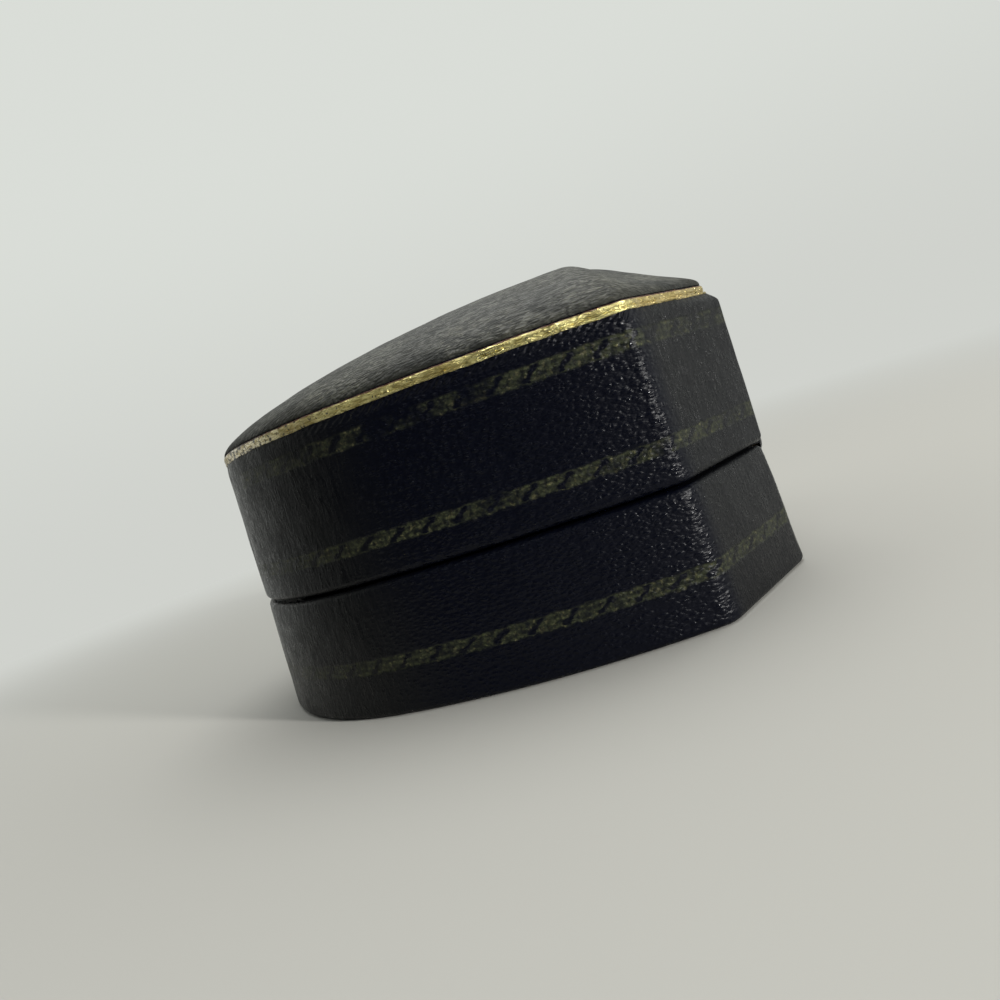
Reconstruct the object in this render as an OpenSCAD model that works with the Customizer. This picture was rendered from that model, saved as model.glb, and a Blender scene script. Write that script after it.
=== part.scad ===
// Antique ring display box: a leather-covered wooden case with a rounded front, a flat back
// and two canted back corners. The lid turns on a pinned brass hinge under a leather spine.
// Front faces -Y, the hinge is at +Y, the box stands on z = 0.

/* [Plan of the box, at the seam] */
// Width across the widest place
box_w = 58.4; // [54:0.2:64]
// Depth from the rounded front to the flat back
box_d = 53.6; // [50:0.2:60]
// Radius of the rounded front
front_r = 25.2; // [21:0.2:26.4]
// How far each canted corner runs along the back
corner_w = 9.9; // [6:0.1:13]
// How far each canted corner runs along the side
corner_d = 11; // [7:0.1:14]
// Softness of the two upright edges beside the flat back
corner_r = 1.2; // [0.6:0.1:3]
// Softness of the two upright edges at the widest place
side_corner_r = 2.6; // [0.6:0.1:4]

/* [Base] */
// Height of the base, from the table to the seam
base_h = 12.1; // [10:0.1:16]
// How far the foot of the base stands out beyond the seam
base_flare = 0.76; // [0.2:0.02:1.2]
// Thickness of the wooden wall of the base
base_wall_t = 3; // [2.9:0.1:3.6]
// Thickness of the wooden floor
floor_t = 2.2; // [1.5:0.1:3.5]
// Width of the leather turned in under the base
turn_in = 6; // [3:0.5:10]

/* [Lid] */
// Height of the upright side of the lid, from the seam to the crease
lid_h = 16; // [14:0.1:20]
// How far the lid draws in from the seam to the crease
lid_taper = 0.82; // [0.2:0.02:1.2]
// Thickness of the wooden wall of the lid at the seam
lid_wall_t = 2.6; // [2.4:0.1:2.8]
// Thickness of the top board at its edge
board_t = 2.4; // [1.5:0.1:3.5]
// How far the lid's back stands out behind the plan
back_proud = 0.35; // [0:0.05:0.5]
// Height of the rounding along the top of the lid's back
back_round = 2; // [1.8:0.1:3]
// Gap between base and lid when the box is closed
seam_gap = 0.3; // [0.2:0.05:0.5]

/* [Dome of the lid] */
// Rise of the dome above the crease
dome_rise = 8; // [5:0.1:12]
// Height of the rolled edge beside the crease
roll_h = 1; // [0.4:0.1:2]
// Where the crown of the dome lies behind the widest place
crown_back = 1.5; // [-6:0.1:4]
// How far the dome's foot stands in from the gilt edge
crease_w = 0.15; // [0.05:0.05:0.5]
// How much softer the dome's hips get towards the crown
hip_soft = 8; // [2:0.5:14]

/* [Leather and gilding] */
// Thickness of the leather
leather_t = 0.5; // [0.4:0.05:0.8]
// Rounding of leather edges at the seam and the foot
edge_r = 0.6; // [0.3:0.05:0.9]
// Width of the gilt line round the top edge of the lid
gilt_w = 0.9; // [0.5:0.1:1.4]
// Thickness of the gilding
gilt_t = 0.1; // [0.08:0.01:0.2]

/* [Fittings inside] */
// Height of the velvet collar above the seam
collar_h = 1.6; // [0.8:0.1:2.6]
// Thickness of the collar's card
collar_t = 1.2; // [0.8:0.1:2]
// Thickness of velvet
velvet_t = 0.3; // [0.2:0.05:0.5]
// Thickness of the card under the ring pads
card_t = 1; // [0.6:0.1:1.6]
// How far the crown of the ring pads stands above the seam
pad_crown = 0.8; // [0.2:0.1:1.4]
// Width of the ring slot at its mouth
slot_w = 2; // [1.4:0.1:3.6]
// Where the ring slot lies in front of the widest place
slot_front = 13; // [8:0.5:20]
// Thickness of the lid's padded satin lining
lining_t = 3.4; // [2:0.1:5]
// Thickness of the satin band round the inside of the lid
band_t = 0.3; // [0.2:0.05:0.5]

/* [Hinge] */
// Length of the hinge
hinge_l = 34; // [24:0.5:36]
// Radius of the hinge barrel
barrel_r = 0.8; // [0.7:0.05:1]
// Radius of the hinge pin
pin_r = 0.4; // [0.3:0.02:0.45]
// Thickness of the hinge leaves
leaf_t = 0.5; // [0.4:0.05:0.7]
// Width of each leaf from the pin's axis
leaf_w = 2.5; // [2.2:0.1:2.7]
// Thickness of the leather spine over the barrel
spine_t = 0.36; // [0.25:0.01:0.5]
// Length of the leather spine
spine_l = 36; // [26:0.5:38]
// Radius of a nail's head
nail_head_r = 0.6; // [0.45:0.05:0.65]
// Length of a nail
nail_l = 3; // [2:0.1:5]

/* [Hidden] */
$fn = 48;

// Clearances
glue = 0.02;          // between pieces that are glued together
running = 0.05;       // pin in the lid's knuckles, each side
seated = 0.01;        // pin in the base's knuckles, each side
knuckle_gap = 0.15;   // between two knuckles
barrel_gap = 0.12;    // round the barrel
pad_gap = 0.15;       // round each soft pad

// Plan, with y = 0 at the widest place
half_w = box_w / 2;
front_y = box_d - corner_d;
side_r = ((front_y - front_r) ^ 2 / (half_w - front_r) + front_r + half_w) / 2;
side_x = half_w - side_r;
front_c = front_r - front_y;
side_a = atan2(front_c, -side_x);
cant_a = atan2(corner_w, corner_d);
front_steps = 13;
side_steps = 5;
corner_steps = 4;

// Heights
lid_z = base_h + seam_gap;
crease_z = lid_z + lid_h;
board_z = crease_z - board_t;
floor_z = leather_t + floor_t;
pad_z = floor_z + card_t;
pivot_z = base_h + seam_gap / 2;
lining_z = board_z - card_t;
shoulder = 0.1;

// Offsets of the inner faces from the plan
base_in = -leather_t - base_wall_t;
lid_in = -leather_t - lid_wall_t;
velvet_out = base_in - glue;
card_out = velvet_out - velvet_t - glue;
card_in = card_out - collar_t;
velvet_in = card_in - velvet_t - glue;
pad_d = velvet_in - pad_gap;
dome_d = -lid_taper - crease_w;

// Hinge
pivot_y = corner_d;
knuckles = 5;
knuckle_l = (hinge_l - knuckle_gap * (knuckles - 1)) / knuckles;
spine_r = barrel_r + barrel_gap;
spine_foot = 2.4;
nails = 3;
nail_r = 0.3;
nail_y = pivot_y - (barrel_r + leaf_w) / 2;

// The middle of the whole box, front to back, stands over the origin
back_y = max(pivot_y + spine_r + spine_t, corner_d + base_flare);
mid_y = (back_y - front_y - base_out(edge_r)) / 2;

// Points of an arc, left out before the one numbered first
function arc(centre, r, a0, a1, steps, first = 0) = [
    for (i = [first:steps])
        let (a = a0 + (a1 - a0) * i / steps)
        centre + r * [cos(a), sin(a)]];

// Right half of the plan, grown by d: front arc, bowed side, canted corner and back
function half_plan(d, soft) =
    let (
        n = [cos(cant_a), sin(cant_a)],
        along = [-sin(cant_a), cos(cant_a)],
        side_end = [half_w, 0] + d * n + along * d * (1 - n.x) / along.x,
        back_end = [half_w - corner_w, corner_d] + d * n + along * d * (1 - n.y) / along.y,
        side_soft = max(side_corner_r + soft + d, 0.3),
        back_soft = max(corner_r + soft + d, 0.3),
        y0 = side_end.y - side_soft * tan(cant_a / 2),
        x1 = back_end.x - back_soft * tan((90 - cant_a) / 2)
    )
    concat(
        arc([0, front_c], front_r + d, -90, side_a, front_steps),
        arc([side_x, 0], side_r + d, side_a, asin(y0 / (side_r + d)), side_steps, 1),
        arc([half_w + d - side_soft, y0], side_soft, 0, cant_a, corner_steps, 1),
        arc([x1, corner_d + d - back_soft], back_soft, cant_a, 90, corner_steps));

// Whole plan, grown by d, with its corners softer by soft
function plan(d, soft = 0) =
    let (right = half_plan(d, soft))
    concat(right, [for (i = [len(right) - 1:-1:1]) [-right[i].x, right[i].y]]);

function at(points, z) = [for (p = points) [p.x, p.y, z]];

// How far the outside stands out from the plan at height z
function base_out(z) = base_flare * (1 - z / base_h);
function lid_out(z) = -lid_taper * (z - lid_z) / lid_h;

function soft_step(t) = let (k = min(max(t, 0), 1)) k * k * (3 - 2 * k);

// Outline of the lid at height z: its back stands upright, then rounds in to the crease
function back_shift(z) =
    (back_proud - lid_out(z)) * (1 - soft_step((z - crease_z + back_round) / (back_round * 0.75)));
function lid_ring(d, z) = [
    for (p = plan(d)) [p.x, p.y + back_shift(z) * soft_step(p.y / corner_d), z]];

// Heights through the rounding, the upper ones up the gilt line
round_foot = crease_z - back_round;
gilt_top = crease_z - shoulder;
gilt_foot = gilt_top - gilt_w;
round_steps = 3;
foot_levels = [for (k = [0:round_steps - 1]) round_foot + (gilt_foot - round_foot) * k / round_steps];
gilt_levels = [for (k = [0:round_steps]) gilt_foot + gilt_w * k / round_steps];
lid_levels = concat(foot_levels, gilt_levels);

// Dome: the plan drawn towards the crown, straighter towards the back than towards the front
crown = [0, crown_back];
front_curve = [1.98, 0.95];
back_curve = [1.81, 1.53];
blend_from = -3.7;
blend_to = 6.9;
dome_steps = [1, 0.992, 0.975, 0.94, 0.88, 0.79, 0.68, 0.56, 0.43, 0.3, 0.17, 0.06];

function dome_height(s, y, rise) =
    let (
        back = soft_step((y - blend_from) / (blend_to - blend_from)),
        curve = front_curve + (back_curve - front_curve) * back
    )
    roll_h * sqrt(1 - s ^ 16) + (rise - roll_h) * (1 - s ^ curve[0]) ^ curve[1];

function dome_rings(d, rise) = [
    for (s = dome_steps) [
        for (p = plan(d, hip_soft * (1 - s)))
            let (q = crown + s * (p - crown))
            [q.x, q.y, crease_z + dome_height(s, p.y, rise)]]];

// Solid through a pile of rings with as many points each, from the bottom up
module loft(rings) {
    n = len(rings[0]);
    last = (len(rings) - 1) * n;
    polyhedron(
        points = [for (r = rings) each r],
        faces = concat(
            [[for (i = [0:n - 1]) i]],
            [for (k = [0:len(rings) - 2], i = [0:n - 1], half = [0, 1])
                let (a = k * n + i, b = k * n + (i + 1) % n)
                half == 0 ? [a, a + n, b] : [b, a + n, b + n]],
            [[for (i = [n - 1:-1:0]) last + i]]));
}

// Closed band whose section runs through the rings and back to the first. The facets split
// along one diagonal or the other, so that two bands lie face to face.
module band(rings, other = false) {
    n = len(rings[0]);
    m = len(rings);
    polyhedron(
        points = [for (r = rings) each r],
        faces = [for (k = [0:m - 1], i = [0:n - 1], half = [0, 1])
            let (a = k * n + i, b = k * n + (i + 1) % n, up = ((k + 1) % m - k) * n)
            half == 0 ? [a, a + up, other ? b + up : b] : [b, other ? a : a + up, b + up]]);
}

// Band whose section is a list of [offset from the plan, height], inside on the left
module wrap(section) {
    band([for (q = section) at(plan(q[0]), q[1])]);
}

// Flat sheet with the shape of the plan
module sheet(d, z0, z1) {
    translate([0, 0, z0]) linear_extrude(z1 - z0) polygon(plan(d));
}

// Upright ring between two offsets
module ring(d_out, d_in, z0, z1) {
    translate([0, 0, z0]) linear_extrude(z1 - z0) difference() {
        polygon(plan(d_out));
        polygon(plan(d_in));
    }
}

// Bar along the hinge
module rod(r, l, x = 0) {
    translate([x - l / 2, pivot_y, pivot_z]) rotate([0, 90, 0]) cylinder(r = r, h = l);
}

function knuckle_x(i) = -hinge_l / 2 + knuckle_l / 2 + i * (knuckle_l + knuckle_gap);
function nail_x(i) = (i - (nails - 1) / 2) * hinge_l * 0.36;

// Bed cut into a wall for one leaf and the barrel, on the side of the seam that up points to
module hinge_bed(up) {
    rod(barrel_r + barrel_gap, hinge_l + 2 * barrel_gap);
    depth = seam_gap / 2 + leaf_t + glue;
    translate([-hinge_l / 2 - glue, pivot_y - leaf_w - glue, pivot_z + (up > 0 ? 0 : -depth)])
        cube([hinge_l + 2 * glue, leaf_w + glue, depth]);
}

module nail_holes(up) {
    for (i = [0:nails - 1])
        translate([nail_x(i), nail_y, pivot_z]) mirror([0, 0, up > 0 ? 0 : 1])
            cylinder(r = nail_r + glue, h = nail_l + 1, $fn = 24);
}

// Small brass nails through a leaf, their heads in the seam
module nail_row(up) {
    for (i = [0:nails - 1])
        translate([nail_x(i), nail_y, pivot_z]) mirror([0, 0, up > 0 ? 0 : 1])
            rotate_extrude($fn = 24) polygon([
                [0, seam_gap / 2 + leaf_t * 0.2], [nail_head_r, seam_gap / 2 + leaf_t * 0.2],
                [nail_r, seam_gap / 2 + leaf_t * 0.2 + nail_head_r - nail_r],
                [nail_r, nail_l - nail_r], [0, nail_l]]);
}

// Leaf with every second knuckle, starting at the one numbered first
module hinge_leaf(up, first, bore_r) {
    difference() {
        union() {
            translate([-hinge_l / 2, pivot_y - leaf_w, pivot_z + (up > 0 ? seam_gap / 2 : -seam_gap / 2 - leaf_t)])
                cube([hinge_l, leaf_w, leaf_t]);
            for (i = [first:2:knuckles - 1]) rod(barrel_r, knuckle_l, knuckle_x(i));
        }
        for (i = [first:2:knuckles - 1]) rod(bore_r, knuckle_l + 1, knuckle_x(i));
        for (i = [1 - first:2:knuckles - 1])
            rod(barrel_r + barrel_gap, knuckle_l + 2 * knuckle_gap, knuckle_x(i));
        for (i = [0:nails - 1])
            translate([nail_x(i), nail_y, pivot_z]) mirror([0, 0, up > 0 ? 0 : 1])
                rotate_extrude($fn = 24) polygon([
                    [0, 0], [nail_head_r + glue, 0], [nail_head_r + glue, seam_gap / 2 + leaf_t * 0.2],
                    [nail_r + glue, seam_gap / 2 + leaf_t * 0.2 + nail_head_r - nail_r],
                    [nail_r + glue, leaf_t + seam_gap], [0, leaf_t + seam_gap]]);
    }
}

// Part of the pads' bed in front of or behind the line y
function clip(points, y, side) = [
    for (i = [0:len(points) - 1])
        let (
            a = points[i], b = points[(i + 1) % len(points)],
            a_in = (a.y - y) * side > 0, b_in = (b.y - y) * side > 0
        )
        each concat(a_in ? [a] : [], a_in != b_in ? [a + (b - a) * (y - a.y) / (b.y - a.y)] : [])];

// Crowned pad on the outline: the sides draw in below and above a full waist
module cushion(outline, z0, z1, middle) {
    waist = [[0.955, 0], [0.985, 0.12], [1, 0.35], [0.995, 0.6], [0.975, 0.78], [0.93, 0.89],
             [0.84, 0.95], [0.68, 0.98], [0.45, 0.995], [0.2, 1]];
    loft([for (k = waist) [for (p = outline)
        let (q = middle + k[0] * (p - middle)) [q.x, q.y, z0 + (z1 - z0) * k[1]]]]);
}

// ---- base ----

module base_wall() {
    top = base_h - leather_t - glue;
    foot = leather_t + glue;
    color("burlywood") difference() {
        wrap([[base_out(foot) - leather_t - glue, foot], [base_out(top) - leather_t - glue, top],
              [base_in, top], [base_in, foot]]);
        hinge_bed(-1);
        nail_holes(-1);
    }
}

module base_floor() {
    color("burlywood") sheet(base_in - glue, leather_t + glue, floor_z);
}

// Leather from the turned-in foot, up the outside and over the top edge of the wall
module base_leather() {
    step = edge_r * (1 - cos(45));
    color("#171922") difference() {
        wrap([
            [base_flare - turn_in, 0], [base_flare - edge_r, 0], [base_flare - step, step],
            [base_out(edge_r), edge_r], [base_out(base_h / 2), base_h / 2],
            [base_out(base_h - edge_r), base_h - edge_r], [-step, base_h - step], [-edge_r, base_h],
            [base_in, base_h], [base_in, base_h - leather_t],
            [base_out(base_h - leather_t) - leather_t, base_h - leather_t],
            [base_out(leather_t) - leather_t, leather_t], [base_flare - turn_in, leather_t]]);
        hinge_bed(-1);
    }
}

module base_underside() {
    color("#15161b") sheet(base_flare - turn_in - 0.1, 0, leather_t);
}

module collar_card() {
    color("tan") ring(card_out, card_in, floor_z + glue, base_h + collar_h - velvet_t - glue);
}

// Velvet folded over the collar's card
module collar_velvet() {
    top = base_h + collar_h;
    color("midnightblue") difference() {
        ring(velvet_out, velvet_in, floor_z + glue, top);
        ring(card_out + glue, card_in - glue, floor_z - 1, top - velvet_t);
    }
}

module pad_board() {
    color("tan") sheet(velvet_in - glue, floor_z + glue, pad_z);
}

module ring_pad_front() {
    y = -slot_front - slot_w / 2;
    color("midnightblue")
        cushion(clip(plan(pad_d), y, -1), pad_z + glue, base_h + pad_crown, [0, (y - front_y - pad_d) / 2]);
}

module ring_pad_back() {
    y = -slot_front + slot_w / 2;
    color("midnightblue")
        cushion(clip(plan(pad_d), y, 1), pad_z + glue, base_h + pad_crown, [0, (y + corner_d + pad_d) / 2]);
}

// ---- hinge ----

module hinge_leaf_base() {
    color("goldenrod") hinge_leaf(-1, 0, pin_r + seated);
}

module hinge_pin() {
    color("gold") rod(pin_r, hinge_l);
}

module hinge_nails_base() {
    color("gold") nail_row(-1);
}

// Leather spine rounded over the barrel, with feet that lie on the base and the lid
module hinge_leather() {
    foot_t = 0.12;
    up_y = back_proud + glue;
    down_y = base_out(base_h - spine_foot) + glue;
    low_a = acos((base_out(pivot_z - spine_r) + glue) / spine_r);
    outside = arc([0, 0], spine_r + spine_t, -70, 62, 14);
    inside = arc([0, 0], spine_r, acos((back_proud + 2 * glue) / spine_r), -low_a, 16);
    color("#14161e") translate([-spine_l / 2, pivot_y, pivot_z])
        rotate([90, 0, 90]) linear_extrude(spine_l) polygon(concat(
            [[down_y, -spine_foot], [down_y + foot_t, -spine_foot]], outside,
            [[up_y + foot_t + glue, spine_foot], [up_y + glue, spine_foot]], inside));
}

module hinge_leaf_lid() {
    color("goldenrod") hinge_leaf(1, 1, pin_r + running);
}

module hinge_nails_lid() {
    color("gold") nail_row(1);
}

// ---- lid ----

module lid_wall() {
    foot = lid_z + leather_t + glue;
    top = board_z - glue;
    color("burlywood") difference() {
        band([lid_ring(lid_out(foot) - leather_t - glue, foot), lid_ring(lid_out(top) - leather_t - glue, top),
              at(plan(lid_in), top), at(plan(lid_in), foot)]);
        hinge_bed(1);
        nail_holes(1);
    }
}

// Top board: flat below, worked to the dome above
module lid_top_board() {
    color("burlywood") loft(concat(
        [for (z = concat([board_z], lid_levels, [crease_z])) lid_ring(lid_out(z) - leather_t - glue, z)],
        dome_rings(dome_d - leather_t - glue, dome_rise - leather_t - glue)));
}

// Leather from under the lid's lower edge up the side to the crease
module lid_side_leather() {
    step = edge_r * (1 - cos(45));
    top = len(lid_levels) - 1;
    outside = concat(
        [[-edge_r, lid_z], [-step, lid_z + step]],
        [for (z = concat([lid_z + edge_r, lid_z + lid_h / 2, board_z], lid_levels)) [lid_out(z), z]],
        [[-lid_taper - shoulder / 2, crease_z], [-lid_taper - leather_t, crease_z]],
        [for (k = [top:-1:0]) [lid_out(lid_levels[k]) - leather_t, lid_levels[k]]],
        [for (z = [board_z, lid_z + leather_t]) [lid_out(z) - leather_t, z]]);
    color("#171922") difference() {
        band(concat(
            [at(plan(lid_in), lid_z)], [for (q = outside) lid_ring(q[0], q[1])],
            [at(plan(lid_in), lid_z + leather_t)]), other = true);
        hinge_bed(1);
    }
}

// Leather over the dome
module lid_top_leather() {
    over = dome_rings(dome_d, dome_rise);
    under = dome_rings(dome_d - leather_t, dome_rise - leather_t);
    top = len(over) - 1;
    n = len(over[0]);
    points = concat([for (r = over) each r], [for (r = under) each r]);
    inner = (top + 1) * n;
    color("#2b2c30") polyhedron(
        points = points,
        faces = concat(
            [for (k = [0:top - 1], i = [0:n - 1], half = [0, 1])
                let (a = k * n + i, b = k * n + (i + 1) % n)
                half == 0 ? [a, a + n, b] : [b, a + n, b + n]],
            [for (k = [0:top - 1], i = [0:n - 1], half = [0, 1])
                let (a = inner + k * n + i, b = inner + k * n + (i + 1) % n)
                half == 0 ? [a, b, a + n] : [b, b + n, a + n]],
            [for (i = [0:n - 1], half = [0, 1])
                let (b = (i + 1) % n)
                half == 0 ? [i, b, inner + i] : [b, inner + b, inner + i]],
            [[for (i = [n - 1:-1:0]) top * n + i]],
            [[for (i = [0:n - 1]) inner + top * n + i]]));
}

// Gilt line along the top edge of the side
module gilt_line() {
    color("gold") band(concat(
        [for (z = gilt_levels) lid_ring(lid_out(z) + glue + gilt_t, z)],
        [for (k = [round_steps:-1:0]) lid_ring(lid_out(gilt_levels[k]) + glue, gilt_levels[k])]));
}

// Satin band round the inside of the lid, above the reach of the collar
module lid_lining_band() {
    color("ivory") ring(lid_in - glue, lid_in - glue - band_t, lid_z + collar_h + 1, lining_z - glue);
}

module lid_lining_card() {
    color("tan") sheet(lid_in - glue, lining_z, board_z - glue);
}

module lid_lining_pad() {
    outline = plan(lid_in - band_t - pad_gap);
    middle = [0, (corner_d - front_y) / 2];
    color("ivory") translate([0, 0, 2 * lining_z - glue]) mirror([0, 0, 1])
        cushion(outline, lining_z, lining_z + lining_t, middle);
}

module placed() {
    translate([0, -mid_y, 0]) children();
}

placed() base_wall();
placed() base_floor();
placed() base_leather();
placed() base_underside();
placed() collar_card();
placed() collar_velvet();
placed() pad_board();
placed() ring_pad_front();
placed() ring_pad_back();
placed() hinge_leaf_base();
placed() hinge_pin();
placed() hinge_nails_base();
placed() hinge_leather();
placed() lid_wall();
placed() lid_top_board();
placed() lid_side_leather();
placed() lid_top_leather();
placed() gilt_line();
placed() lid_lining_band();
placed() lid_lining_card();
placed() lid_lining_pad();
placed() hinge_leaf_lid();
placed() hinge_nails_lid();
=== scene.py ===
import math

import bpy
import numpy as np
from mathutils import Matrix, Vector, noise


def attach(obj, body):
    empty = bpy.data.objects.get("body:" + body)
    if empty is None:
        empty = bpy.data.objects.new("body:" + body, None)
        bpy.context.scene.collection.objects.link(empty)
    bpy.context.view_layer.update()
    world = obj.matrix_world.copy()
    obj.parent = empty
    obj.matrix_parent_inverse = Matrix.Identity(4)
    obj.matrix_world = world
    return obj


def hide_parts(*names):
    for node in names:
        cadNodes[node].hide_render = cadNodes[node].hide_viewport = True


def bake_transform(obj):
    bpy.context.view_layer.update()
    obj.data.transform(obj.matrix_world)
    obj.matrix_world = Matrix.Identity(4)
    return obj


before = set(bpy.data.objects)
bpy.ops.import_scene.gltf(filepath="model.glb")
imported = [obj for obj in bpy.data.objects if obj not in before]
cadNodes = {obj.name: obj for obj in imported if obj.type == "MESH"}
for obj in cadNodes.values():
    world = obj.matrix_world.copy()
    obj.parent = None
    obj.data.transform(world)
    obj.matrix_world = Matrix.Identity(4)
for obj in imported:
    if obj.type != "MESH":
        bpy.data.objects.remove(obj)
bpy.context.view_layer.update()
mm = 0.001


def newObject(name, data):
    obj = bpy.data.objects.new(name, data)
    bpy.context.collection.objects.link(obj)
    return obj


# the photograph's camera: place in mm, angles in degrees
cameraSet = {"place": (88.76, -2.54, 21.11), "turn": 2.83, "down": 4.79, "roll": 18.97, "lens": 26.64}


def addCamera():
    turn, down, roll = (math.radians(cameraSet[k]) for k in ("turn", "down", "roll"))
    ahead = Vector((-math.cos(turn) * math.cos(down), math.sin(turn) * math.cos(down), -math.sin(down)))
    level = Vector((math.sin(turn), math.cos(turn), 0))
    upright = level.cross(ahead)
    right = level * math.cos(roll) - upright * math.sin(roll)
    up = level * math.sin(roll) + upright * math.cos(roll)
    lens = bpy.data.cameras.new("camera")
    lens.lens = cameraSet["lens"]
    lens.clip_start = 0.002
    lens.clip_end = 50
    camera = newObject("camera", lens)
    turned = Matrix((right, up, -ahead)).transposed().to_4x4()
    camera.matrix_world = Matrix.Translation(Vector(cameraSet["place"]) * mm) @ turned
    bpy.context.scene.camera = camera


addCamera()
bpy.context.scene.view_settings.view_transform = "Standard"
print("camera placed")


# short ways to place and link nodes

def isSocket(value):
    return isinstance(value, bpy.types.NodeSocket)


def feed(tree, node, inputs):
    for name, value in inputs.items():
        if isSocket(value):
            tree.links.new(value, node.inputs[name])
        else:
            node.inputs[name].default_value = value
    return node


def put(tree, kind, inputs=None, **settings):
    made = tree.nodes.new(kind)
    for name, value in settings.items():
        setattr(made, name, value)
    return feed(tree, made, inputs or {})


def calc(tree, operation, a, b=0.0, c=0.0, clamp=False):
    return put(tree, "ShaderNodeMath", {0: a, 1: b, 2: c}, operation=operation, use_clamp=clamp).outputs[0]


def times(tree, a, b):
    return calc(tree, "MULTIPLY", a, b)


def timesPlus(tree, a, b, c, clamp=False):
    return calc(tree, "MULTIPLY_ADD", a, b, c, clamp)


def ramp(tree, value, low, high, toLow=0.0, toHigh=1.0):
    return put(tree, "ShaderNodeMapRange", {0: value, 1: low, 2: high, 3: toLow, 4: toHigh},
               interpolation_type="SMOOTHSTEP").outputs[0]


def blendColour(tree, amount, a, b):
    a, b = (value if isSocket(value) else (*value, 1) for value in (a, b))
    return put(tree, "ShaderNodeMix", {0: amount, 6: a, 7: b}, data_type="RGBA").outputs[2]


def vectorMath(tree, operation, a, b=(0, 0, 0)):
    return put(tree, "ShaderNodeVectorMath", {0: a, 1: b}, operation=operation).outputs[0]


def scaled(tree, vector, factors):
    return vectorMath(tree, "MULTIPLY", vector, factors)


def sized(tree, vector, factor):
    return put(tree, "ShaderNodeVectorMath", {0: vector, "Scale": factor}, operation="SCALE").outputs[0]


def part(tree, vector, axis):
    return put(tree, "ShaderNodeSeparateXYZ", {0: vector}).outputs[axis]


def cloudiness(tree, vector, scale, detail=2.0, rough=0.5, warp=0.0):
    values = {"Vector": vector, "Scale": scale, "Detail": detail, "Roughness": rough, "Distortion": warp}
    return put(tree, "ShaderNodeTexNoise", values).outputs[0]


def cells(tree, vector, feature, inputs):
    return put(tree, "ShaderNodeTexVoronoi", {"Vector": vector, "Randomness": 1.0, **inputs},
               feature=feature).outputs["Distance"]


def newGroup(name, inputs, outputs):
    tree = bpy.data.node_groups.new(name, "ShaderNodeTree")
    kinds = {"float": "NodeSocketFloat", "vector": "NodeSocketVector"}
    for label, kind, value in inputs:
        socket = tree.interface.new_socket(label, in_out="INPUT", socket_type=kinds[kind])
        if value is not None:
            socket.default_value = value
    for label, kind in outputs:
        tree.interface.new_socket(label, in_out="OUTPUT", socket_type=kinds[kind])
    return tree, tree.nodes.new("NodeGroupInput").outputs, tree.nodes.new("NodeGroupOutput").inputs


def use(tree, group, inputs):
    return put(tree, "ShaderNodeGroup", inputs, node_tree=group).outputs


# effects that more than one finish uses

def buildLeatherGrain():
    tree, given, out = newGroup("leatherGrain",
                                [("Place", "vector", None), ("Size", "float", 0.42), ("Warp", "float", 0.5)],
                                [("Height", "float"), ("Peak", "float"), ("Drift", "float")])
    link = tree.links.new
    place = sized(tree, given["Place"], calc(tree, "DIVIDE", 1.0, given["Size"]))
    drift = cloudiness(tree, place, 0.11, 3)
    bend = put(tree, "ShaderNodeTexNoise", {"Vector": place, "Scale": 0.55, "Detail": 1.0})
    centred = vectorMath(tree, "SUBTRACT", bend.outputs["Color"], (0.5, 0.5, 0.5))
    moved = vectorMath(tree, "ADD", place, sized(tree, centred, given["Warp"]))
    pebble = cells(tree, moved, "SMOOTH_F1", {"Scale": 1.0, "Smoothness": 0.35})
    crease = cells(tree, moved, "DISTANCE_TO_EDGE", {"Scale": 1.0})
    small = cells(tree, moved, "SMOOTH_F1", {"Scale": 2.3, "Smoothness": 0.3})
    hill = calc(tree, "SUBTRACT", 0.85, pebble)
    groove = ramp(tree, crease, 0.0, 0.30)
    body = times(tree, hill, timesPlus(tree, groove, 0.38, 0.62))
    fine = times(tree, calc(tree, "SUBTRACT", 0.6, small), 0.22)
    swell = times(tree, cloudiness(tree, place, 0.42, 2), 0.55)
    link(calc(tree, "ADD", calc(tree, "ADD", body, fine), swell), out["Height"])
    link(ramp(tree, body, 0.40, 0.68), out["Peak"])
    link(drift, out["Drift"])
    return tree


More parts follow.
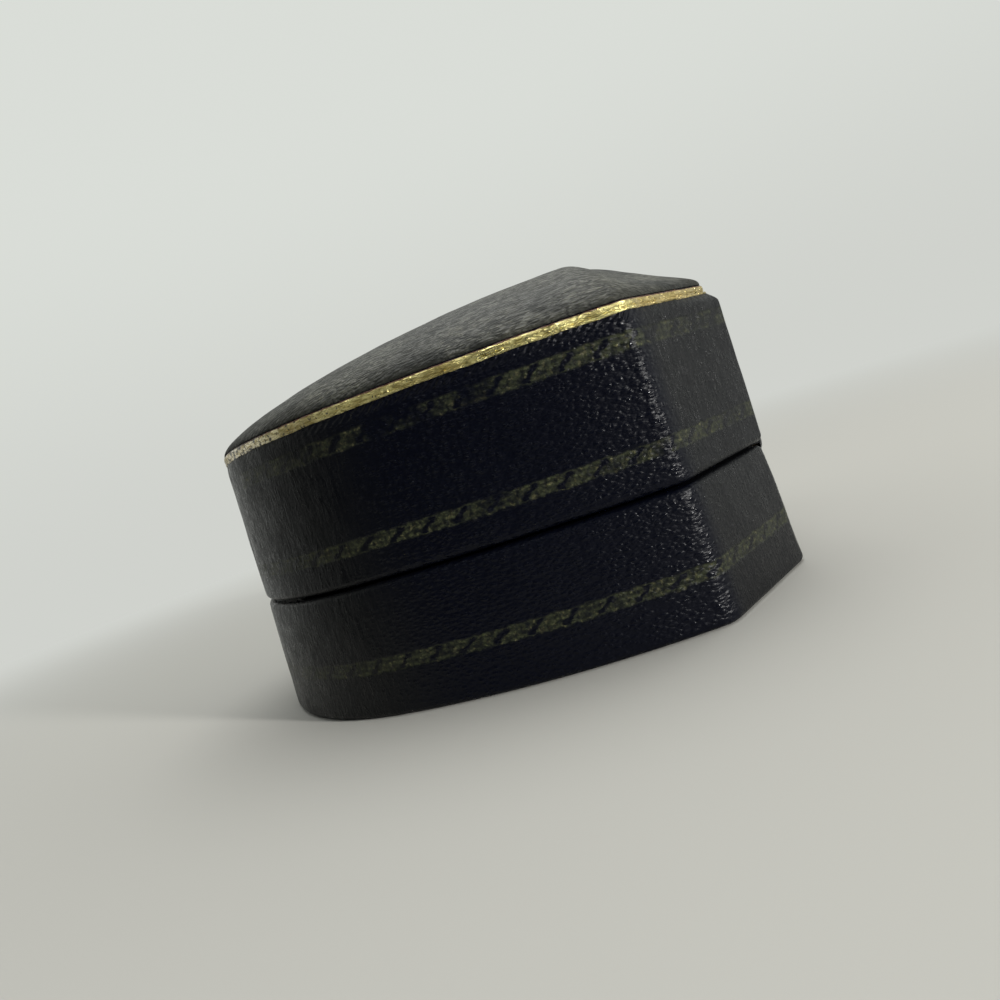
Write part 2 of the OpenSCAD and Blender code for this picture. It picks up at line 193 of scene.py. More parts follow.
def buildToolBand():
    # one worn row of slanted blocks between two fine lines, pressed into leather
    tree, given, out = newGroup("toolBand",
                                [("Along", "float", 0.0), ("Up", "float", 0.0), ("Place", "vector", None),
                                 ("Centre", "float", 0.0), ("Half width", "float", 0.73), ("Pitch", "float", 3.1),
                                 ("Wear", "float", 0.5), ("Seed", "float", 0.0)],
                                [("Ink", "float"), ("Dent", "float")])
    link = tree.links.new
    shake = calc(tree, "SUBTRACT", cloudiness(tree, given["Place"], 1.3, 2), 0.5)
    height = timesPlus(tree, shake, 0.5, calc(tree, "SUBTRACT", given["Up"], given["Centre"]))
    across = calc(tree, "DIVIDE", height, given["Half width"])
    away = calc(tree, "ABSOLUTE", across)
    inside = ramp(tree, away, 0.72, 1.05, 1.0, 0.0)
    curl = calc(tree, "SINE", times(tree, across, 2.9))
    lean = calc(tree, "ADD", times(tree, across, 0.08), times(tree, curl, 0.12))
    lean = timesPlus(tree, shake, 0.22, lean)
    phase = calc(tree, "ADD", calc(tree, "DIVIDE", given["Along"], given["Pitch"]), lean)
    fromBlock = calc(tree, "ABSOLUTE", calc(tree, "SUBTRACT", calc(tree, "FRACT", phase), 0.5))
    edge = times(tree, fromBlock, 2.0)
    notch = ramp(tree, edge, 0.66, 0.88)
    lines = calc(tree, "SINE", timesPlus(tree, across, 9.0, 1.2))
    streak = timesPlus(tree, lines, 0.22, 0.70, clamp=True)
    rail = times(tree, ramp(tree, away, 0.74, 0.80), inside)
    block = times(tree, times(tree, inside, streak), calc(tree, "SUBTRACT", 1.0, notch))
    figure = calc(tree, "MAXIMUM", block, times(tree, rail, 0.75))
    shift = put(tree, "ShaderNodeCombineXYZ", {0: given["Seed"], 2: given["Seed"]}).outputs[0]
    shifted = vectorMath(tree, "ADD", given["Place"], shift)
    patch = cloudiness(tree, shifted, 0.16, 4, 0.62)
    speck = cloudiness(tree, shifted, 2.1, 3, 0.6)
    bare = timesPlus(tree, given["Wear"], 0.34, 0.26)
    kept = ramp(tree, patch, bare, calc(tree, "ADD", bare, 0.2))
    flecks = ramp(tree, speck, 0.36, 0.6, 0.25, 1.0)
    link(times(tree, times(tree, figure, kept), flecks), out["Ink"])
    pressed = times(tree, inside, -0.5)
    link(calc(tree, "SUBTRACT", pressed, times(tree, block, 0.25)), out["Dent"])
    return tree


def buildWoodGrain():
    tree, given, out = newGroup("woodGrain", [("Place", "vector", None)], [("Ring", "float"), ("Pore", "float")])
    long = scaled(tree, given["Place"], (0.12, 1.0, 1.0))
    warped = cloudiness(tree, long, 0.25, 2)
    wave = put(tree, "ShaderNodeTexWave", {"Vector": long, "Scale": 0.35, "Distortion": 3.0, "Detail": 2.0},
               wave_type="RINGS", rings_direction="X")
    ring = timesPlus(tree, wave.outputs["Fac"], 0.6, times(tree, warped, 0.4))
    tree.links.new(ring, out["Ring"])
    tree.links.new(cloudiness(tree, scaled(tree, given["Place"], (0.4, 6.0, 6.0)), 1.0, 2), out["Pore"])
    return tree


def buildCloth():
    # fine crossing threads and slow rumples, for satin and velvet alike
    tree, given, out = newGroup("clothFace", [("Place", "vector", None), ("Thread", "float", 0.12)],
                                [("Thread height", "float"), ("Rumple", "float"), ("Nap", "float")])
    place = sized(tree, given["Place"], calc(tree, "DIVIDE", 1.0, given["Thread"]))
    split = put(tree, "ShaderNodeSeparateXYZ", {0: place}).outputs
    weft = calc(tree, "SINE", times(tree, split[0], 6.283))
    warp = calc(tree, "SINE", times(tree, calc(tree, "ADD", split[1], split[2]), 6.283))
    tree.links.new(times(tree, weft, warp), out["Thread height"])
    tree.links.new(cloudiness(tree, given["Place"], 0.16, 3, 0.55, 0.6), out["Rumple"])
    tree.links.new(cloudiness(tree, given["Place"], 5.5, 3, 0.7), out["Nap"])
    return tree


leatherGrain = buildLeatherGrain()
toolBand = buildToolBand()
woodGrain = buildWoodGrain()
clothFace = buildCloth()
print("shared effects built")


# finishes, each with its own values
def emptyTree(owner):
    owner.use_nodes = True
    owner.node_tree.nodes.clear()
    return owner.node_tree


def newMaterial(name):
    made = bpy.data.materials.new(name)
    tree = emptyTree(made)
    shader = put(tree, "ShaderNodeBsdfPrincipled")
    put(tree, "ShaderNodeOutputMaterial", {0: shader.outputs[0]})
    return made, tree, shader, sized(tree, put(tree, "ShaderNodeTexCoord").outputs["Object"], 1000.0)


def setBump(tree, shader, height, depthMm=1.0):
    bump = put(tree, "ShaderNodeBump", {"Height": height, "Distance": depthMm * mm, "Strength": 1.0})
    tree.links.new(bump.outputs[0], shader.inputs["Normal"])


# the grey colour for the cants, back and rounded front is a painted sheen
sideLook = {"tone": (0.0014, 0.0020, 0.0060), "drift": (0.0030, 0.0038, 0.0080),
            "rubbed": (0.013, 0.014, 0.018), "paintedSheenGrey": (0.0062, 0.0066, 0.0058),
            "ink": (0.064, 0.072, 0.034), "inkPale": (0.19, 0.18, 0.085), "matt": 0.38, "gloss": 0.16,
            "grain": 0.40, "relief": 0.095, "bandRelief": 0.05, "hair": 0.16,
            "drawn": 0.05, "drawnLow": 26.3, "drawnHigh": 27.6, "drawnPitch": 0.92}
lidBands = [{"Centre": 25.0, "Wear": 0.34, "Seed": 3.0, "Half width": 0.85},
            {"Centre": 15.8, "Wear": 0.18, "Seed": 11.0}]
baseBands = [{"Centre": 4.9, "Wear": 0.18, "Seed": 23.0}]


def sideLeather(name, bands, pitch, grainTurn=(0.6, 0.6, 1.15)):
    made, tree, shader, place = newMaterial(name)
    grain = use(tree, leatherGrain, {"Place": scaled(tree, place, grainTurn), "Size": sideLook["grain"]})
    uv = put(tree, "ShaderNodeUVMap", uv_map="wrap").outputs[0]
    along = times(tree, part(tree, uv, 0), 200.0)
    up = part(tree, place, 2)
    colour = blendColour(tree, ramp(tree, grain["Drift"], 0.3, 0.75, 0.0, 0.35), sideLook["tone"], sideLook["drift"])
    wear = ramp(tree, cloudiness(tree, place, 0.22, 4, 0.6), 0.52, 0.72)
    peaks = times(tree, grain["Peak"], timesPlus(tree, wear, 0.5, 0.12))
    colour = blendColour(tree, peaks, colour, sideLook["rubbed"])
    depth = part(tree, place, 1)
    # the grain is pressed flat on the cants and back, and towards the rounded front, and there its colour is
    # lightened to a painted sheen grey
    pressed = calc(tree, "MAXIMUM", ramp(tree, depth, 15.6, 17.6, 0.0, 0.66),
                   ramp(tree, depth, -6.0, -17.0, 0.0, 0.80))
    kept = calc(tree, "SUBTRACT", 1.0, pressed)
    colour = blendColour(tree, times(tree, pressed, 0.9), colour, sideLook["paintedSheenGrey"])
    height = times(tree, grain["Height"], times(tree, kept, sideLook["relief"]))
    hair = cloudiness(tree, scaled(tree, place, (2.1, 2.1, 0.55)), 1.0, 4, 0.62, 1.6)
    height = timesPlus(tree, hair, times(tree, pressed, sideLook["hair"]), height)
    # small slanted creases where the leather is drawn over the edge, under the gilt
    lean = timesPlus(tree, up, 9.0, times(tree, cloudiness(tree, place, 0.8, 2), 5.0))
    crimp = calc(tree, "SINE", timesPlus(tree, along, 2 * math.pi / sideLook["drawnPitch"], lean))
    middle = (sideLook["drawnLow"] + sideLook["drawnHigh"]) / 2
    reach = (sideLook["drawnHigh"] - sideLook["drawnLow"]) / 2
    rimZone = ramp(tree, calc(tree, "ABSOLUTE", calc(tree, "SUBTRACT", up, middle)), reach * 0.45, reach, 1.0, 0.0)
    here = times(tree, kept, ramp(tree, cloudiness(tree, place, 0.14, 2), 0.36, 0.56))
    rimZone = times(tree, rimZone, here)
    height = timesPlus(tree, crimp, times(tree, rimZone, sideLook["drawn"]), height)
    ink = None
    for band in bands:
        row = use(tree, toolBand, {"Along": along, "Up": up, "Place": place, "Pitch": pitch, **band})
        height = timesPlus(tree, row["Dent"], sideLook["bandRelief"], height)
        ink = row["Ink"] if ink is None else calc(tree, "MAXIMUM", ink, row["Ink"])
    shine = put(tree, "ShaderNodeMix", {0: pressed, 2: grain["Peak"], 3: ramp(tree, hair, 0.35, 0.65)},
                data_type="FLOAT").outputs[0]
    rough = ramp(tree, shine, 0.0, 1.0, sideLook["matt"], sideLook["gloss"])
    dulled = times(tree, ramp(tree, cloudiness(tree, place, 0.32, 4, 0.6, 0.8), 0.40, 0.64), pressed)
    rough = timesPlus(tree, dulled, 0.12, rough)
    if ink is not None:
        fleck = ramp(tree, cloudiness(tree, place, 2.6, 2, 0.6), 0.54, 0.70)
        ink = times(tree, ink, ramp(tree, grain["Peak"], 0.05, 0.75, 0.60, 1.0))
        ink = times(tree, ink, timesPlus(tree, kept, 0.35, 0.65))
        colour = blendColour(tree, ink, colour, blendColour(tree, fleck, sideLook["ink"], sideLook["inkPale"]))
        rough = timesPlus(tree, ink, 0.25, rough)
    feed(tree, shader, {"Base Color": colour, "Roughness": rough, "Specular IOR Level": 0.16})
    setBump(tree, shader, height)
    return made


# the dome's rubbed colour is partly rubbed wear along the streaks and grain peaks, and partly a painted sheen that
# lightens the dome
topLook = {"tone": (0.005, 0.006, 0.004), "drift": (0.016, 0.016, 0.010), "rubbed": (0.190, 0.186, 0.135),
           "grain": 0.44, "relief": 0.140, "streak": 0.075, "paintedShadeTop": 30.4,
           "grainTurn": -14, "streakTurn": -24}


def stretched(tree, place, degrees, factors):
    turn = {"Vector": place, "Rotation": (0, 0, math.radians(degrees)), "Scale": factors}
    return put(tree, "ShaderNodeMapping", turn).outputs[0]


def topLeather(name):
    made, tree, shader, place = newMaterial(name)
    turned = stretched(tree, place, topLook["grainTurn"], (1.5, 0.5, 1.0))
    grain = use(tree, leatherGrain, {"Place": turned, "Size": topLook["grain"], "Warp": 0.8})
    drawn = stretched(tree, place, topLook["streakTurn"], (1.4, 0.75, 1.2))
    streak = cloudiness(tree, drawn, 1.0, 4, 0.66, 1.6)
    colour = blendColour(tree, ramp(tree, grain["Drift"], 0.3, 0.75), topLook["tone"], topLook["drift"])
    wear = ramp(tree, cloudiness(tree, place, 0.17, 5, 0.62), 0.38, 0.62)
    up = part(tree, place, 2)
    # painted shade: low on the dome, near the crease, the lighter colour is mostly held off, so that band stays
    # darker
    uneven = timesPlus(tree, wear, 1.2, up)
    clear = ramp(tree, uneven, topLook["paintedShadeTop"] - 1.8, topLook["paintedShadeTop"] + 0.8, 0.15, 1.0)
    # rubbed wear and painted sheen: a light grey along the streaks and grain peaks
    rubbed = times(tree, ramp(tree, streak, 0.40, 0.64), timesPlus(tree, wear, 0.50, 0.20))
    rubbed = times(tree, rubbed, clear)
    rubbed = times(tree, rubbed, timesPlus(tree, grain["Peak"], 0.5, 0.5))
    colour = blendColour(tree, rubbed, colour, topLook["rubbed"])
    dull = calc(tree, "SUBTRACT", ramp(tree, streak, 0.34, 0.66, 0.92, 0.66), times(tree, clear, 0.26))
    feed(tree, shader, {"Base Color": colour, "Roughness": dull, "Specular IOR Level": 0.40})
    streakHeight = times(tree, streak, topLook["streak"])
    height = timesPlus(tree, grain["Height"], topLook["relief"], streakHeight)
    setBump(tree, shader, height)
    return made


giltLook = {"gold": (1.0, 0.9, 0.41), "pale": (0.92, 0.83, 0.66), "dull": (0.62, 0.48, 0.23),
            "brown": (0.42, 0.33, 0.11), "dark": (0.016, 0.015, 0.012),
            "border": (0.085, 0.028, 0.012), "top": 28.16}


def gilding(name):
    made, tree, shader, place = newMaterial(name)
    split = put(tree, "ShaderNodeSeparateXYZ", {0: place}).outputs
    along = scaled(tree, place, (0.55, 0.42, 2.2))
    flow = cloudiness(tree, along, 1.0, 3, 0.6, 0.8)
    crinkle = cloudiness(tree, scaled(tree, place, (1.5, 0.9, 3.4)), 1.2, 3, 0.6, 0.6)
    patch = cloudiness(tree, place, 0.20, 3, 0.55)
    frayed = ramp(tree, split[1], -25.0, 0.0, 0.14, 0.0)
    bare = ramp(tree, calc(tree, "SUBTRACT", cloudiness(tree, place, 1.7, 4, 0.65), frayed), 0.27, 0.38)
    tint = blendColour(tree, ramp(tree, split[1], -24.0, -8.0), giltLook["pale"], giltLook["gold"])
    tint = blendColour(tree, ramp(tree, split[1], 15.4, 17.0, 0.0, 0.8), tint, giltLook["dull"])
    tint = blendColour(tree, ramp(tree, patch, 0.52, 0.66, 0.0, 0.55), tint, giltLook["brown"])
    tint = blendColour(tree, ramp(tree, crinkle, 0.47, 0.60, 0.0, 0.75), tint, giltLook["brown"])
    edge = timesPlus(tree, crinkle, 0.16, split[2])
    rim = ramp(tree, edge, giltLook["top"] + 0.06, giltLook["top"] + 0.14)
    leaf = times(tree, bare, calc(tree, "SUBTRACT", 1.0, rim))
    colour = blendColour(tree, rim, blendColour(tree, bare, giltLook["dark"], tint), giltLook["border"])
    rough = ramp(tree, patch, 0.35, 0.62, 0.20, 0.44)
    feed(tree, shader, {"Base Color": colour, "Metallic": leaf, "Roughness": rough})
    height = timesPlus(tree, crinkle, 0.24, times(tree, flow, 0.48))
    setBump(tree, shader, height)
    return made


woodLook = {"pale": (0.66, 0.49, 0.31), "dark": (0.50, 0.33, 0.18), "pore": (0.30, 0.18, 0.09), "rough": 0.62}


def wood(name):
    made, tree, shader, place = newMaterial(name)
    grain = use(tree, woodGrain, {"Place": place})
    colour = blendColour(tree, grain["Ring"], woodLook["dark"], woodLook["pale"])
    colour = blendColour(tree, ramp(tree, grain["Pore"], 0.55, 0.75, 0.0, 0.5), colour, woodLook["pore"])
    feed(tree, shader, {"Base Color": colour, "Roughness": woodLook["rough"]})
    setBump(tree, shader, grain["Pore"], 0.02)
    return made


cardLook = {"dark": (0.42, 0.31, 0.20), "pale": (0.60, 0.49, 0.35), "rough": 0.85}


def card(name):
    made, tree, shader, place = newMaterial(name)
    fibre = cloudiness(tree, scaled(tree, place, (1.0, 3.0, 3.0)), 1.4, 5, 0.7)
    colour = blendColour(tree, fibre, cardLook["dark"], cardLook["pale"])
    feed(tree, shader, {"Base Color": colour, "Roughness": cardLook["rough"]})
    setBump(tree, shader, fibre, 0.03)
    return made


paperLook = {"dark": (0.010, 0.011, 0.015), "pale": (0.028, 0.028, 0.032)}


def darkPaper(name):
    made, tree, shader, place = newMaterial(name)
    grain = use(tree, leatherGrain, {"Place": place, "Size": 0.9, "Warp": 1.2})
    fibre = cloudiness(tree, place, 0.5, 5, 0.65)
    colour = blendColour(tree, ramp(tree, fibre, 0.35, 0.7), paperLook["dark"], paperLook["pale"])
    feed(tree, shader, {"Base Color": colour, "Roughness": ramp(tree, fibre, 0.3, 0.7, 0.5, 0.7)})
    setBump(tree, shader, grain["Height"], 0.03)
    return made


velvetLook = {"deep": (0.006, 0.009, 0.045), "pile": (0.020, 0.028, 0.110), "crushed": (0.040, 0.052, 0.16),
              "sheen": (0.20, 0.27, 0.75)}


def velvet(name):
    made, tree, shader, place = newMaterial(name)
    cloth = use(tree, clothFace, {"Place": place, "Thread": 0.3})
    colour = blendColour(tree, ramp(tree, cloth["Nap"], 0.3, 0.7), velvetLook["deep"], velvetLook["pile"])
    crushed = times(tree, ramp(tree, cloth["Rumple"], 0.45, 0.7), 0.45)
    colour = blendColour(tree, crushed, colour, velvetLook["crushed"])
    feed(tree, shader, {"Base Color": colour, "Roughness": 0.9, "Specular IOR Level": 0.15, "Sheen Weight": 0.55,
                        "Sheen Roughness": 0.35, "Sheen Tint": (*velvetLook["sheen"], 1)})
    height = timesPlus(tree, cloth["Nap"], 0.10, times(tree, cloth["Rumple"], 0.25))
    setBump(tree, shader, height)
    return made


satinLook = {"fresh": (0.80, 0.73, 0.58), "aged": (0.74, 0.65, 0.49), "worn": (0.66, 0.57, 0.43)}


def satin(name):
    made, tree, shader, place = newMaterial(name)
    cloth = use(tree, clothFace, {"Place": place, "Thread": 0.16})
    colour = blendColour(tree, ramp(tree, cloth["Rumple"], 0.35, 0.85), satinLook["fresh"], satinLook["aged"])
    colour = blendColour(tree, ramp(tree, cloth["Nap"], 0.5, 0.8, 0.0, 0.12), colour, satinLook["worn"])
    rough = ramp(tree, cloth["Nap"], 0.2, 0.8, 0.28, 0.40)
    feed(tree, shader, {"Base Color": colour, "Roughness": rough, "Anisotropic": 0.5, "Sheen Weight": 0.15})
    height = timesPlus(tree, cloth["Thread height"], 0.010, times(tree, cloth["Rumple"], 0.45))
    setBump(tree, shader, height)
    return made


brassLook = {"clean": (0.70, 0.50, 0.22), "tarnished": (0.32, 0.21, 0.09)}


def brass(name):
    made, tree, shader, place = newMaterial(name)
    drawn = cloudiness(tree, scaled(tree, place, (0.3, 5.0, 5.0)), 1.6, 3, 0.6)
    tarnish = ramp(tree, cloudiness(tree, place, 0.6, 4, 0.65), 0.42, 0.68)
    colour = blendColour(tree, tarnish, brassLook["clean"], brassLook["tarnished"])
    rough = ramp(tree, tarnish, 0.0, 1.0, 0.28, 0.5)
    feed(tree, shader, {"Base Color": colour, "Metallic": 1.0, "Roughness": rough})
    setBump(tree, shader, drawn, 0.012)
    return made


# plan and heights of the box, in mm, with y = 0 at the widest place
planSet = {"halfWidth": 29.2, "frontY": 42.6, "frontR": 25.2, "cornerW": 9.9, "cornerD": 11.0,
           "sideCornerR": 2.6, "backCornerR": 1.2,
           "middleY": -15.5212}
bodySet = {"baseHeight": 12.1, "flare": 0.76, "lidFoot": 12.4, "lidHeight": 16.0, "taper": 0.82,
           "leather": 0.5, "edge": 0.6, "turnIn": 6.0, "wallIn": -3.5, "lidIn": -3.1,
           "backProud": 0.35, "backRound": 2.0, "topRound": 0.16, "topRoundFrom": 25.9,
           "topRoundOver": 2.2, "uneven": 0.07, "unevenTo": 0.4}
hingeSet = {"y": 11.0, "z": 12.25, "barrel": 0.92, "length": 34.24, "leaf": 2.52, "bed": 0.67}
creaseZ = bodySet["lidFoot"] + bodySet["lidHeight"]
sideR = ((planSet["frontY"] - planSet["frontR"]) ** 2 / (planSet["halfWidth"] - planSet["frontR"])
         + planSet["frontR"] + planSet["halfWidth"]) / 2
sideX = planSet["halfWidth"] - sideR
frontC = planSet["frontR"] - planSet["frontY"]
sideA = math.atan2(frontC, -sideX)
cantA = math.atan2(planSet["cornerW"], planSet["cornerD"])


def arc(centre, radius, start, end, steps):
    return [(centre[0] + radius * math.cos(start + (end - start) * i / steps),
             centre[1] + radius * math.sin(start + (end - start) * i / steps)) for i in range(steps + 1)]


def planRing(grow=0.0, soft=0.0, detail=1.0):
    # closed outline from the middle of the back, round by the right side
    n = (math.cos(cantA), math.sin(cantA))
    t = (-n[1], n[0])
    sideEndY = grow * n[1] + t[1] * grow * (1 - n[0]) / t[0]
    backEndX = planSet["halfWidth"] - planSet["cornerW"] + grow * n[0] + t[0] * grow * (1 - n[1]) / t[1]
    sideSoft = max(planSet["sideCornerR"] + soft + grow, 0.3)
    backSoft = max(planSet["backCornerR"] + soft + grow, 0.3)
    y0 = sideEndY - sideSoft * math.tan(cantA / 2)
    x1 = backEndX - backSoft * math.tan((math.pi / 2 - cantA) / 2)

    def count(steps):
        return max(2, round(steps * detail))

    runs = [arc((0, frontC), planSet["frontR"] + grow, -math.pi / 2, sideA, count(76)),
            arc((sideX, 0), sideR + grow, sideA, math.asin(y0 / (sideR + grow)), count(80)),
            arc((planSet["halfWidth"] + grow - sideSoft, y0), sideSoft, 0, cantA, count(12)),
            arc((x1, planSet["cornerD"] + grow - backSoft), backSoft, cantA, math.pi / 2, count(8))]
    half = list(runs[0]) + runs[1][1:] + runs[2][1:]
    a, b = half[-1], runs[3][0]
    steps = count(38)
    half += [(a[0] + (b[0] - a[0]) * i / steps, a[1] + (b[1] - a[1]) * i / steps) for i in range(1, steps)]
    half += runs[3]
    a = half[-1]
    steps = count(50)
    half += [(a[0] * (1 - i / steps), a[1]) for i in range(1, steps + 1)]
    right = np.array(half)
    left = right[1:-1] * (-1, 1)
    return np.concatenate([right[::-1], left])


def lift(points, amount, size, seed=0.0):
    # slow, repeatable unevenness of hand-laid leather, in mm
    offset = Vector((seed, seed * 1.7, -seed))
    return np.array([amount * noise.noise(Vector(p) / size + offset) for p in points])


def unevenness(points, amount):
    return lift(points, amount, 7.0) + lift(points, amount * 0.5, 2.4, 5.0)


seamRing = planRing()
stepLengths = np.linalg.norm(np.roll(seamRing, -1, axis=0) - seamRing, axis=1)
girth = float(stepLengths.sum())
alongRing = np.concatenate([[0.0], np.cumsum(stepLengths)])
motifPitch = girth / round(girth / 3.1)


def finishMesh(obj, material, sharpAngle=math.radians(42)):
    mesh = obj.data
    mesh.materials.clear()
    mesh.materials.append(material)
    mesh.shade_smooth()
    if sharpAngle:
        mesh.set_sharp_from_angle(angle=sharpAngle)
    return obj


def meshFrom(name, vertices, faces, uvs=None):
    # vertices in plan mm; the mesh is made in metres, its place in it
    placed = (np.asarray(vertices, float) - (0, planSet["middleY"], 0)) * mm
    mesh = bpy.data.meshes.new(name)
    mesh.from_pydata(placed.tolist(), [], faces)
    if uvs is not None:
        layer = mesh.uv_layers.new(name="wrap")
        layer.data.foreach_set("uv", np.asarray(uvs, np.float32).ravel())
    mesh.update()
    return newObject(name, mesh)


def quadRows(rows, n):
    # quads between neighbouring rows of n points, each row closed on itself
    return [(k * n + i, k * n + (i + 1) % n, (k + 1) * n + (i + 1) % n, (k + 1) * n + i)
            for k in range(rows - 1) for i in range(n)]


def directions(inner, outer):
    way = outer - inner
    return way / np.linalg.norm(way, axis=1)[:, None]


def softStep(t):
    k = np.clip(t, 0, 1)
    return k * k * (3 - 2 * k)


def lidRing(grow, z, detail=1.0):
    # outline of the lid at height z: its back stands upright, then rounds in to the crease
    proud = bodySet["backProud"] - lidOut(z)
    fade = 1 - softStep((z - creaseZ + bodySet["backRound"]) / (bodySet["backRound"] * 0.75))
    flat = planRing(grow, detail=detail)
    flat[:, 1] += proud * fade * softStep(flat[:, 1] / planSet["cornerD"])
    return flat


def plainRing(grow, z, detail=1.0):
    return planRing(grow, detail=detail)


def sweepSection(name, section, uneven=0.0, unevenFrom=None, detail=1.0, outline=plainRing):
    # closed section of (offset, height) carried round the plan; u runs along, v up
    rings = []
    n = len(planRing(detail=detail))
    for grow, z in section:
        flat = outline(grow, z, detail)
        ring = np.column_stack([flat, np.full(n, z)])
        if uneven and (unevenFrom is None or grow > unevenFrom(z)):
            outward = directions(outline(grow - 0.05, z, detail), flat)
            ring[:, :2] += outward * unevenness(ring, uneven)[:, None]
        rings.append(ring)
    rows = len(rings)
    vertices = np.concatenate(rings)
    faces, uvs = [], []
    ringAlong = alongRing if detail == 1.0 else np.linspace(0, girth, n + 1)
    for k in range(rows):
        k2 = (k + 1) % rows
        for i in range(n):
            j = (i + 1) % n
            faces.append((k * n + i, k * n + j, k2 * n + j, k2 * n + i))
            u0, u1 = ringAlong[i] / 200, ringAlong[i + 1] / 200
            v0, v1 = section[k][1] / 200, section[k2][1] / 200
            uvs += [(u0, v0), (u1, v0), (u1, v1), (u0, v1)]
    obj = meshFrom(name, vertices, faces, uvs)
    turnOutward(obj)
    return obj


def coordinates(mesh):
    return np.array([v.co[:] for v in mesh.vertices])


def turnOutward(obj):
    mesh = obj.data
    mesh.calc_loop_triangles()
    co = coordinates(mesh)
    tri = np.array([t.vertices[:] for t in mesh.loop_triangles])
    a, b, c = co[tri[:, 0]], co[tri[:, 1]], co[tri[:, 2]]
    if (a * np.cross(b, c)).sum() < 0:
        mesh.flip_normals()


def cornerArc(centre, r, start, end, steps):
    return arc(centre, r, math.radians(start), math.radians(end), steps)


def baseOut(z):
    return bodySet["flare"] * (1 - z / bodySet["baseHeight"])


def lidOut(z):
    return -bodySet["taper"] * (z - bodySet["lidFoot"]) / bodySet["lidHeight"]


def lidFace(z):
    # the side rounds over a little below the crease
    return lidOut(z) - bodySet["topRound"] * softStep((z - bodySet["topRoundFrom"]) / bodySet["topRoundOver"]) ** 1.5


def evaluated(obj):
    return obj.evaluated_get(bpy.context.evaluated_depsgraph_get())


def bakeModifiers(obj):
    mesh = bpy.data.meshes.new_from_object(evaluated(obj))
    obj.modifiers.clear()
    old = obj.data
    obj.data = mesh
    bpy.data.meshes.remove(old)


def cutHingeBed(obj, up):
    # room for the barrel and for one leaf, as in the case below
    steps = 40
    y, z, r, half = hingeSet["y"], hingeSet["z"], hingeSet["barrel"], hingeSet["length"] / 2
    circle = arc((y, z), r, 0, 2 * math.pi, steps)[:-1]
    vertices = [(x, *at) for x in (-half, half) for at in circle]
    faces = quadRows(2, steps) + [tuple(range(steps))[::-1], tuple(range(steps, 2 * steps))]
    cutters = [meshFrom("cutterBarrel", vertices, faces)]
    low, high = (z - 0.3, z + hingeSet["bed"]) if up else (z - hingeSet["bed"], z + 0.3)
    front = y - hingeSet["leaf"]
    corners = [(x, yy, zz) for x in (-half, half) for yy in (front, y + 0.02) for zz in (low, high)]
    boxFaces = [(0, 1, 3, 2), (4, 6, 7, 5), (0, 4, 5, 1), (2, 3, 7, 6), (0, 2, 6, 4), (1, 5, 7, 3)]
    cutters.append(meshFrom("cutterLeaf", corners, boxFaces))
    for cutter in cutters:
        turnOutward(cutter)
        step = obj.modifiers.new(cutter.name, "BOOLEAN")
        step.operation = "DIFFERENCE"
        step.object = cutter
        step.solver = "EXACT"
    bakeModifiers(obj)
    for cutter in cutters:
        bpy.data.objects.remove(cutter)


# leather round the sides of base and lid

def baseLeatherPiece():
    h, e, t = bodySet["baseHeight"], bodySet["edge"], bodySet["leather"]
    turned = bodySet["flare"] - bodySet["turnIn"]
    section = [(turned, 0), (turned * 0.6, 0), (turned * 0.2, 0)]
    section += cornerArc((baseOut(e) - e, e), e, -90, 0, 8)
    section += [(baseOut(z), z) for z in np.linspace(1.1, h - e - 0.5, 25)]
    section += cornerArc((-e, h - e), e, 0, 90, 9)
    section += [(-1.4, h), (-2.4, h), (bodySet["wallIn"], h), (bodySet["wallIn"], h - t), (-1.6, h - t),
                (baseOut(h - t) - t, h - t), (baseOut(6.0) - t, 6.0), (baseOut(t) - t, t), (turned, t)]
    piece = sweepSection("base_leather_skin", section, bodySet["uneven"], lambda z: baseOut(z) - bodySet["unevenTo"])
    cutHingeBed(piece, False)
    return finishMesh(piece, sideLeather("baseSideLeather", baseBands, motifPitch))


def lidLeatherPiece():
    z0, e, t = bodySet["lidFoot"], bodySet["edge"], bodySet["leather"]
    s = 0.15
    topIn = -bodySet["taper"] - t
    section = [(bodySet["lidIn"], z0), (-2.2, z0), (-1.2, z0)]
    section += cornerArc((lidOut(z0 + e) - e, z0 + e), e, -90, 0, 9)
    section += [(lidFace(z), z) for z in np.linspace(z0 + e + 0.5, 26.2, 30)]
    section += [(lidFace(z), z) for z in np.linspace(26.4, creaseZ - s, 13)[:-1]]
    section += cornerArc((lidFace(creaseZ - s) - s, creaseZ - s), s, 0, 90, 5)
    section += [(topIn, creaseZ)] + [(lidOut(z) - t, z) for z in (27.9, 27.4, 26.9, 26.4, 20.0, z0 + t)]
    section += [(bodySet["lidIn"], z0 + t)]
    piece = sweepSection("lid_leather_skin", section, bodySet["uneven"], lambda z: lidOut(z) - bodySet["unevenTo"],
                         outline=lidRing)
    cutHingeBed(piece, True)
    return finishMesh(piece, sideLeather("lidSideLeather", lidBands, motifPitch))


baseSkin = baseLeatherPiece()
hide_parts("base_leather")
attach(baseSkin, "base")
lidSkin = lidLeatherPiece()
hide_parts("lid_side_leather")
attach(lidSkin, "lid")
print("side leathers wrapped", len(baseSkin.data.polygons), len(lidSkin.data.polygons))


# leather over the dome of the lid
domeSet = {"rise": 8.0, "roll": 1.0, "crownY": 1.5, "hipSoft": 8.0, "creaseGap": 0.15,
           "frontCurve": (1.98, 0.95), "backCurve": (1.81, 1.53), "blendFrom": -3.7, "blendTo": 6.9,
           "slowUneven": (0.10, 9.0, 2.0), "fineUneven": (0.035, 2.6, 8.0)}


